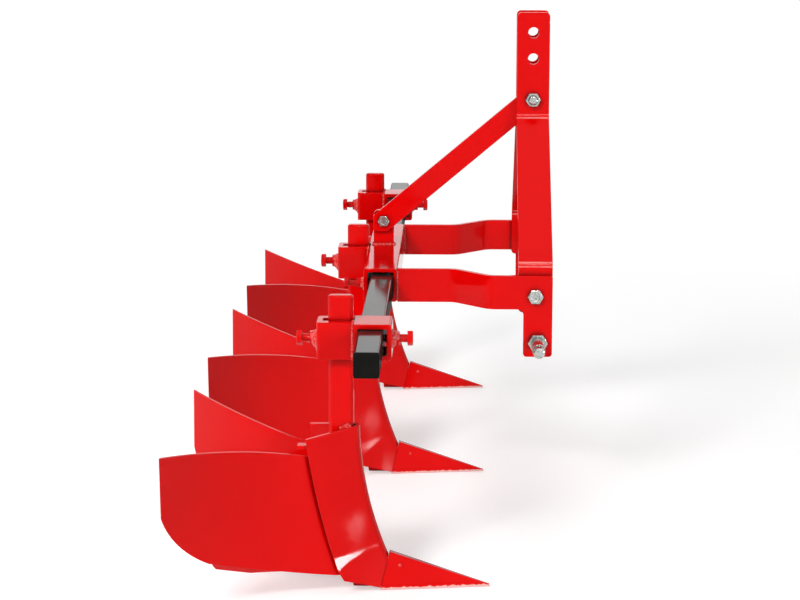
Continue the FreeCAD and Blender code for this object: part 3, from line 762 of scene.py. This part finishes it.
def finishBolt(work, nodeName):
    bmesh.ops.recalc_face_normals(work, faces=work.faces)
    sharpen(work, crispBolt)
    material = boltPaint if "set_bolt" in nodeName else zinc
    for face in work.faces:
        face.material_index = 0
    finishedPiece(nodeName, asMesh(work, nodeName + "_finished", material))


setBolts = {"big": {"radius": 7.0, "flats": 21.0, "head": 9.0, "pitch": 2.0, "depth": 0.75},
            "small": {"radius": 5.0, "flats": 17.0, "head": 7.5, "pitch": 1.5, "depth": 0.6}}
setBoltEnds = {"inHead": 0.5, "chamfer": 1.2, "plainTip": 1.5, "plainShank": 1.0}


def setBolt(nodeName):                       # along X, with its head away from the toolbar
    low, high = corners(nodeName)
    size = setBolts["small" if "sleeve" in nodeName else "big"]
    ends = setBoltEnds
    outward = 1.0 if "clamp" in nodeName else -1.0
    near = low[0] if outward > 0 else high[0]
    tip = Vector((near, halfway(low, high, 1), halfway(low, high, 2)))
    along = xWay * outward
    length = high[0] - low[0]
    shank = length - size["head"]
    work = bmesh.new()
    turned(work, tip, along, yWay,
           rodRows(size["radius"] - size["depth"], 0.0, shank + ends["inHead"], ends["chamfer"]))
    turned(work, tip, along, zWay,
           hexRows(size["flats"], shank, length, (False, True))
           + dimpleRows(size["flats"], length, 1))
    layThread(work, tip + along * ends["plainTip"], along, size["radius"],
              shank - ends["plainTip"] - ends["plainShank"], size["pitch"], size["depth"],
              boltPaint)
    finishBolt(work, nodeName)


crossSizes = {"big": {"radius": 8.0, "flats": 24.0, "head": 10.0, "nut": 13.0, "pitch": 2.0,
                      "depth": 0.8},
              "small": {"radius": 6.0, "flats": 19.0, "head": 8.0, "nut": 10.0, "pitch": 1.75,
                        "depth": 0.65}}
crossBolts = {"mast_bolt": ("big", 1), "foot_bolt": ("big", -1),   # size, side of the head
              "brace_bolt": ("small", -1)}
crossBoltEnds = {"pastNut": 4.0, "inHead": 0.5, "chamfer": 1.0, "threadInside": 3.0,
                 "plainTip": 1.4}


def crossBolt(nodeName, size, headSide):     # along Y, through two plates, with a nut
    low, high = corners(nodeName)
    ends = crossBoltEnds
    near = high[1] if headSide > 0 else low[1]
    head = Vector((halfway(low, high, 0), near, halfway(low, high, 2)))
    along = yWay * -headSide
    length = high[1] - low[1]
    work = bmesh.new()
    turned(work, head, along, xWay, dimpleRows(size["flats"], 0.0, -1)[::-1]
           + hexRows(size["flats"], 0.0, size["head"], (True, False)))
    nutNear = length - ends["pastNut"] - size["nut"]
    turned(work, head, along, xWay,
           hexRows(size["flats"], nutNear, nutNear + size["nut"], (True, True), size["radius"]))
    turned(work, head, along, xWay,
           rodRows(size["radius"] - size["depth"], size["head"] - ends["inHead"], length,
                   ends["chamfer"]))
    threadNear = nutNear - ends["threadInside"]
    layThread(work, head + along * threadNear, along, size["radius"],
              length - ends["plainTip"] - threadNear, size["pitch"], size["depth"], zinc)
    finishBolt(work, nodeName)


for nodeName in cadNodes:
    if "set_bolt" in nodeName:
        setBolt(nodeName)
    for word, (size, headSide) in crossBolts.items():
        if nodeName.startswith(word):
            mirrored = -1 if nodeName.endswith("left") else 1
            crossBolt(nodeName, crossSizes[size], mirrored * headSide)
print("bolts made")

beadLook = {"spacing": 1.9, "flatness": 0.62, "seed": 3, "least": 0.86, "most": 1.14,
            "segments": 8, "rings": 6}


def beadTree():
    tree, graph, given = newTree("weldBead", (
        ("Path", "Geometry"), ("Spacing", "Float"), ("Flatness", "Float"), ("Seed", "Int"),
        ("Finish", "Material")), "Beads")
    curve = graph.node("GeometryNodeMeshToCurve", {}, {"Mesh": given["Path"]})
    points = graph.node("GeometryNodeResampleCurve", {"mode": "LENGTH"},
                        {"Curve": curve, "Length": given["Spacing"]})
    size = graph.node("GeometryNodeInputNamedAttribute", {"data_type": "FLOAT"},
                      {"Name": "beadRadius"})
    along = graph.node("GeometryNodeInputTangent")
    leaned = graph.node("FunctionNodeAlignRotationToVector", {"axis": "Z"}, {"Vector": along})
    spread = graph.node("FunctionNodeRandomValue", {"data_type": "FLOAT"},
                        {"Min": beadLook["least"], "Max": beadLook["most"],
                         "Seed": given["Seed"]}, 1)
    thick = size * spread
    scale = graph.node("ShaderNodeCombineXYZ", {},
                       {"X": thick, "Y": thick, "Z": thick * given["Flatness"]})
    ball = graph.node("GeometryNodeMeshUVSphere", {}, {
        "Segments": beadLook["segments"], "Rings": beadLook["rings"], "Radius": 1.0})
    laid = graph.node("GeometryNodeInstanceOnPoints", {}, {
        "Points": points, "Instance": ball, "Rotation": leaned, "Scale": scale})
    endTree(graph, laid, given["Finish"], "Beads")
    return tree


beads = beadTree()


def weldMesh(paths):
    # each path is a list of points and the bead's radius, both in millimetres
    mesh = bpy.data.meshes.new("weldPath")
    places, edges, radii = [], [], []
    for points, radius in paths:
        start = len(places)
        places += [tuple(c * mm for c in point) for point in points]
        edges += [(start + i, start + i + 1) for i in range(len(points) - 1)]
        radii += [radius * mm] * len(points)
    mesh.from_pydata(places, edges, [])
    mesh.attributes.new("beadRadius", "FLOAT", "POINT").data.foreach_set("value", radii)
    return runTree("weldPath", beads, mesh, {
        "Spacing": beadLook["spacing"] * mm, "Flatness": beadLook["flatness"],
        "Seed": beadLook["seed"], "Finish": weldPaint})


collarLook = {"lump": 1.0, "lumpScale": 0.22, "count": 40, "sunk": 0.3,
              "profile": ((0.0, 1.0), (0.16, 0.72), (0.40, 0.42), (0.70, 0.16), (1.0, 0.0))}
holderCollar = {"length": 9.5, "above": 15.5, "below": 23.0, "nut": 11.0}
clampCollar = {"length": 7.0, "above": 15.0, "below": 17.0, "nut": 11.2}
sleeveCollar = {"length": 7.0, "above": 12.0, "below": 13.5, "nut": 9.0}


def weldCollar(work, centre, along, look):
    # the thick fillet from a welded nut to the face below it
    side = along.cross(zWay)
    rings = []
    for at, part in collarLook["profile"]:
        ring = []
        for step in range(collarLook["count"]):
            turn = math.tau * step / collarLook["count"]
            low = (1 - math.cos(turn)) / 2
            foot = look["above"] + (look["below"] - look["above"]) * low
            reach = look["nut"] + (foot - look["nut"]) * part
            place = centre + along * (at * look["length"] - collarLook["sunk"])
            out = zWay * math.cos(turn) + side * math.sin(turn)
            reach += (noise.noise((place + out * reach) * collarLook["lumpScale"])
                      * collarLook["lump"])
            ring.append(work.verts.new((place + out * reach) * mm))
        rings.append(ring)
    joinRings(work, rings)


weldLook = {"seam": 2.6, "lug": 2.8, "arm": 2.6, "small": 1.8, "wing": 1.9, "stay": 2.2}
holderSeams = {"inset": 1.0, "out": 0.4, "ends": 2.0, "slotInset": 0.5, "slotFrom": 12.5,
               "slotTo": 27.0}


def holderWelds(row):
    low, high = corners(row + "_shank_holder")
    seams = holderSeams
    x = high[0] - seams["inset"]
    paths = [([(x, y, low[2] + seams["ends"]), (x, y, high[2] - seams["ends"])],
              weldLook["seam"]) for y in (low[1] - seams["out"], high[1] + seams["out"])]
    x = high[0] - seams["slotInset"]
    middle = halfway(low, high, 1)
    for z in (low[2], high[2]):
        for sign in (-1, 1):
            paths.append(([(x, middle + sign * seams["slotFrom"], z),
                           (x, middle + sign * seams["slotTo"], z)], weldLook["small"]))
    return paths


def holderCollars(work, row):
    low, high = corners(row + "_shank_holder")
    centre = Vector((low[0] + nutLength["big"], halfway(low, high, 1), halfway(low, high, 2)))
    weldCollar(work, centre, -xWay, holderCollar)


def addWelds(body, paths, work):
    mesh = weldMesh(paths)
    work.from_mesh(mesh)
    bpy.data.meshes.remove(mesh)
    bmesh.ops.recalc_face_normals(work, faces=work.faces)
    for face in work.faces:
        face.smooth = True
        face.material_index = 0
    name = body + "_welds"
    addPiece(name, asMesh(work, name, weldPaint), body, "red_paint")


frameSeams = {"front": 0.6, "armInset": 11.0, "endOut": 0.2, "armEnds": 4.0, "nutPlace": 228.0,
              "lugOut": 0.6, "lugEnds": 1.0}


def frameWelds():
    seams = frameSeams
    work = bmesh.new()
    paths = holderWelds("middle")
    holderCollars(work, "middle")
    low, high = corners("centre_sleeve")
    x = high[0] + seams["front"]
    bottom, top = low[2] + seams["armEnds"], high[2] - seams["armEnds"]
    for sign in (-1, 1):
        for y, radius in ((high[1] - seams["armInset"], weldLook["arm"]),
                          (high[1] + seams["endOut"], weldLook["small"])):
            paths.append(([(x, sign * y, bottom), (x, sign * y, top)], radius))
        centre = Vector((low[0] + nutLength["small"], sign * seams["nutPlace"],
                         halfway(low, high, 2)))
        weldCollar(work, centre, -xWay, sleeveCollar)
    low, high = corners("brace_lug")
    out, ends, foot = seams["lugOut"], seams["lugEnds"], low[2] + seams["lugOut"]
    for y in (low[1] - out, high[1] + out):
        paths.append(([(low[0] - ends, y, foot), (high[0] + ends, y, foot)], weldLook["lug"]))
    for x in (low[0] - out, high[0] + out):
        paths.append(([(x, low[1], foot), (x, high[1], foot)], weldLook["lug"]))
    addWelds("frame", paths, work)


def clampWelds(row):
    work = bmesh.new()
    holderCollars(work, row)
    low, high = corners(row + "_clamp")
    centre = Vector((high[0] - nutLength["big"], halfway(low, high, 1), halfway(low, high, 2)))
    weldCollar(work, centre, xWay, clampCollar)
    addWelds("clamp_" + row, holderWelds(row), work)


def innerFace(tree, x, z, start, sign):      # y where a line out from the shank meets a sheet
    hit = tree.ray_cast(Vector((x, start, z)) * mm, yWay * sign)
    return hit[0].y / mm if hit[0] else None


ridgerSeams = {
    "wingFrom": 52, "wingTo": 206, "wingStep": 7,     # heights up the wing's front edge
    "searchFrom": 70.0, "searchTo": -30.0, "search": 1.0, "wingOut": 0.8,
    "stayPlaces": (-0.5, 6.5), "stayHeights": (157.0, 170.0, 183.0), "stayIn": 0.6,
    "shankBehind": 0.6, "shankOut": 4.6, "shankFrom": 160.0, "shankTo": 232.0,
    "tackDrop": 1.0, "tackLow": 2.0, "tackHigh": 1.0,
    # each run of the tack: from and to along x, out from the middle, drop, radius
    "tack": ((19.0, 35.0, 12.0, 0.0, 3.0), (21.0, 34.0, 13.5, 4.5, 2.8),
             (23.0, 32.0, 11.5, -3.0, 2.3)),
}


def wingSeam(tree, stayHigh, middle, sign):  # up the wing's front edge, inside the breast
    seams = ridgerSeams
    seam = []
    for z in range(seams["wingFrom"], seams["wingTo"], seams["wingStep"]):
        x = stayHigh[0] + seams["searchFrom"]
        y = None
        while y is None and x > stayHigh[0] + seams["searchTo"]:
            x -= seams["search"]
            y = innerFace(tree, x, z, middle, sign)
        if y is not None:
            seam.append((x + seams["search"], y + sign * seams["wingOut"], z))
    return seam


def ridgerWelds(row):
    seams = ridgerSeams
    shankLow, shankHigh = corners(row + "_shank")
    middle = halfway(shankLow, shankHigh, 1)
    stayLow, stayHigh = corners(row + "_stay")
    breastTop = corners(row + "_breast")[1][2] - seams["tackDrop"]
    paths = []
    for sign, side in ((-1, "right"), (1, "left")):
        wing = bmesh.new()
        wing.from_mesh(cadNodes[row + "_wing_" + side].data)
        tree = BVHTree.FromBMesh(wing)
        wing.free()
        seam = wingSeam(tree, stayHigh, middle, sign)
        if len(seam) > 3:
            third = len(seam) // 3
            paths += [(seam[:third + 1], weldLook["wing"]), (seam[-third - 1:], weldLook["wing"])]
        for place in seams["stayPlaces"]:    # the stay's end on the wing
            x = stayLow[0] + place
            ends = [(x, innerFace(tree, x, z, middle, sign), z) for z in seams["stayHeights"]]
            if all(end[1] is not None for end in ends):
                paths.append(([(x, y - sign * seams["stayIn"], z) for x, y, z in ends],
                              weldLook["stay"]))
        x, y = shankLow[0] - seams["shankBehind"], middle + sign * seams["shankOut"]
        paths.append(([(x, y, seams["shankFrom"]), (x, y, seams["shankTo"])], weldLook["stay"]))
        for start, stop, out, drop, radius in seams["tack"]:
            y, z = middle + sign * out, breastTop - drop
            paths.append(([(shankLow[0] + start, y, z - seams["tackLow"]),
                           (shankLow[0] + stop, y, z + seams["tackHigh"])], radius))
    addWelds("ridger_" + row, paths, bmesh.new())


rivetLook = {"x": 53.0, "z": 37.0, "radius": 3.0, "height": 1.9, "segments": 20, "rings": 12,
             "outside": 200.0}


def rivetTree():
    tree, graph, given = newTree("rivet", (
        ("Places", "Geometry"), ("Radius", "Float"), ("Height", "Float"), ("Finish", "Material")),
        "Rivets")
    dome = graph.node("GeometryNodeMeshUVSphere", {}, {
        "Segments": rivetLook["segments"], "Rings": rivetLook["rings"], "Radius": 1.0})
    size = graph.node("ShaderNodeCombineXYZ", {}, {"X": given["Radius"], "Y": given["Radius"],
                                                   "Z": given["Height"]})
    points = graph.node("GeometryNodeMeshToPoints", {}, {"Mesh": given["Places"], "Radius": mm})
    way = graph.node("GeometryNodeInputNamedAttribute", {"data_type": "FLOAT_VECTOR"},
                     {"Name": "outward"})
    leaned = graph.node("FunctionNodeAlignRotationToVector", {"axis": "Z"}, {"Vector": way})
    laid = graph.node("GeometryNodeInstanceOnPoints", {}, {
        "Points": points, "Instance": dome, "Rotation": leaned, "Scale": size})
    endTree(graph, laid, given["Finish"], "Rivets")
    return tree


rivets = rivetTree()


def shareRivets(row):                        # one on each flank of the share
    low, high = corners(row + "_share")
    solid = mergedCopy(row + "_share")
    tree = BVHTree.FromBMesh(solid)
    solid.free()
    places, ways = [], []
    for sign in (-1, 1):
        start = Vector((rivetLook["x"], halfway(low, high, 1) + sign * rivetLook["outside"],
                        rivetLook["z"]))
        place, way = tree.ray_cast(start * mm, yWay * -sign)[:2]
        places.append(tuple(place))
        ways += list(way)
    mesh = bpy.data.meshes.new("rivetPlaces")
    mesh.from_pydata(places, [], [])
    mesh.attributes.new("outward", "FLOAT_VECTOR", "POINT").data.foreach_set("vector", ways)
    made = runTree("rivets", rivets, mesh, {
        "Radius": rivetLook["radius"] * mm, "Height": rivetLook["height"] * mm,
        "Finish": weldPaint})
    name = row + "_share_rivets"
    made.name = name
    addPiece(name, made, "ridger_" + row, "red_paint")


frameWelds()
for row in ("right", "left"):
    clampWelds(row)
for row in rows:
    ridgerWelds(row)
    shareRivets(row)
print("welds and rivets laid")

stageLook = {"floorRadius": 4.0, "floorSides": 96, "floorDrop": 0.0005, "fadeFrom": 1.3,
             "fadeTo": 2.6, "floorShade": (0.80, 0.80, 0.80, 1.0), "glow": 0.46,
             "skyLight": 0.10, "rearSky": 0.40, "rearFrom": -0.95, "rearTo": 0.15}


def seenRays(graph):             # camera, mirror and glass rays, which see a white studio
    outputs = graph.node("ShaderNodeLightPath").socket.node.outputs
    return (Wire(graph, outputs["Is Camera Ray"]) + Wire(graph, outputs["Is Glossy Ray"])
            + Wire(graph, outputs["Is Transmission Ray"])).clamped()


def makeFloor():
    bpy.ops.mesh.primitive_circle_add(
        vertices=stageLook["floorSides"], radius=stageLook["floorRadius"], fill_type="NGON",
        location=(0.0, 0.0, -stageLook["floorDrop"]))
    floor = bpy.context.object
    floor.name = "floor"
    material, graph = newMaterial("pale_floor")
    away = graph.node("ShaderNodeVectorMath", {"operation": "LENGTH"}, {0: graph.place()},
                      "Value")
    fade = away.ramp(stageLook["fadeFrom"], stageLook["fadeTo"])
    seen = seenRays(graph)
    shade = graph.node("ShaderNodeBsdfDiffuse", {}, {"Color": stageLook["floorShade"]})
    glow = graph.node("ShaderNodeEmission", {}, {"Strength": seen * stageLook["glow"]})
    lit = graph.node("ShaderNodeAddShader", {}, {0: shade, 1: glow})
    white = graph.node("ShaderNodeEmission", {}, {"Strength": 1.0})
    shown = graph.node("ShaderNodeMixShader", {}, {0: seen * fade, 1: lit, 2: white})
    graph.node("ShaderNodeOutputMaterial", {}, {"Surface": shown})
    floor.data.materials.append(material)


def makeWorld():
    world = bpy.data.worlds.new("studio")
    bpy.context.scene.world = world
    world.use_nodes = True
    world.node_tree.nodes.clear()
    graph = Graph(world.node_tree)
    forwards = graph.parts(graph.node("ShaderNodeTexCoord", output="Generated"))[0]
    rearward = 1.0 - forwards.ramp(stageLook["rearFrom"], stageLook["rearTo"])
    mirrored = graph.node("ShaderNodeLightPath", output="Is Glossy Ray")
    dimmed = 1.0 - mirrored * rearward * (1.0 - stageLook["rearSky"])
    strength = (seenRays(graph) * (1.0 - stageLook["skyLight"]) + stageLook["skyLight"]) * dimmed
    sky = graph.node("ShaderNodeBackground", {}, {"Color": (1.0, 1.0, 1.0, 1.0),
                                                  "Strength": strength})
    graph.node("ShaderNodeOutputWorld", {}, {"Surface": sky})


machineMiddle = (-0.05, -0.3, 0.25)
lamps = {                        # each lights the surfaces, or only shines in their gloss
    "highKey": {"place": (-2.30, -5.13, 3.98), "aim": machineMiddle, "size": (1.6, 1.6),
                "watts": 250.0, "lights": "surfaces"},
    "lowKey": {"place": (2.67, -6.13, 1.15), "aim": machineMiddle, "size": (1.6, 1.6),
               "watts": 126.0, "lights": "surfaces"},
    "rearBox": {"place": (-6.0, -1.5, 1.5), "aim": machineMiddle, "size": (2.4, 2.4),
                "watts": 84.0, "lights": "surfaces"},
    "topBox": {"place": (0.0, -1.0, 5.5), "aim": machineMiddle, "size": (2.4, 2.4),
               "watts": 54.0, "lights": "surfaces"},
    "backFill": {"place": (-1.2, 5.2, 1.5), "aim": (-0.05, 0.0, 0.30), "size": (2.4, 2.4),
                 "watts": 120.0, "lights": "surfaces"},
    "sideStrip": {"place": (3.08, -3.16, 0.78), "aim": (-0.03, -0.74, 0.055),
                  "size": (0.9, 0.5), "watts": 150.0, "lights": "gloss"},
    "highStrip": {"place": (0.1, -3.6, 3.3), "aim": (0.1, 0.0, 0.5), "size": (3.4, 0.4),
                  "watts": 170.0, "lights": "gloss"},
    "backSheet": {"place": (0.0, 5.0, 1.75), "aim": (0.0, 0.0, 0.4), "size": (6.0, 1.6),
                  "watts": 12.5, "lights": "gloss"},
}


def makeLamps():
    for name, look in lamps.items():
        data = bpy.data.lights.new(name, "AREA")
        data.shape = "RECTANGLE"
        data.size, data.size_y = look["size"]
        data.energy = look["watts"]
        lamp = newObject(name, data)
        lamp.location = look["place"]
        away = Vector(look["place"]) - Vector(look["aim"])
        lamp.rotation_mode = "QUATERNION"
        lamp.rotation_quaternion = away.to_track_quat("Z", "Y")
        lamp.visible_diffuse = look["lights"] == "surfaces"
        lamp.visible_glossy = look["lights"] == "gloss"


cameraLook = {"place": (0.1511, -4.2186, 1.1626), "down": 11.104, "turn": -1.609, "roll": 0.034,
              "lens": 101.93, "sensor": 36.0}


def makeCamera():
    down, turn, roll = (math.radians(cameraLook[key]) for key in ("down", "turn", "roll"))
    forward = Vector((math.sin(turn) * math.cos(down), math.cos(turn) * math.cos(down),
                      -math.sin(down)))
    level = Vector((math.cos(turn), -math.sin(turn), 0.0))
    upright = level.cross(forward)
    across = level * math.cos(roll) + upright * math.sin(roll)
    upward = upright * math.cos(roll) - level * math.sin(roll)
    data = bpy.data.cameras.new("camera")
    data.sensor_width = cameraLook["sensor"]
    data.lens = cameraLook["lens"]
    camera = newObject("camera", data)
    facing = Matrix((across, upward, -forward)).transposed().to_4x4()
    camera.matrix_world = Matrix.Translation(cameraLook["place"]) @ facing
    bpy.context.scene.camera = camera


makeFloor()
makeWorld()
makeLamps()
makeCamera()
bpy.context.scene.view_settings.view_transform = "Standard"
print("stage set")
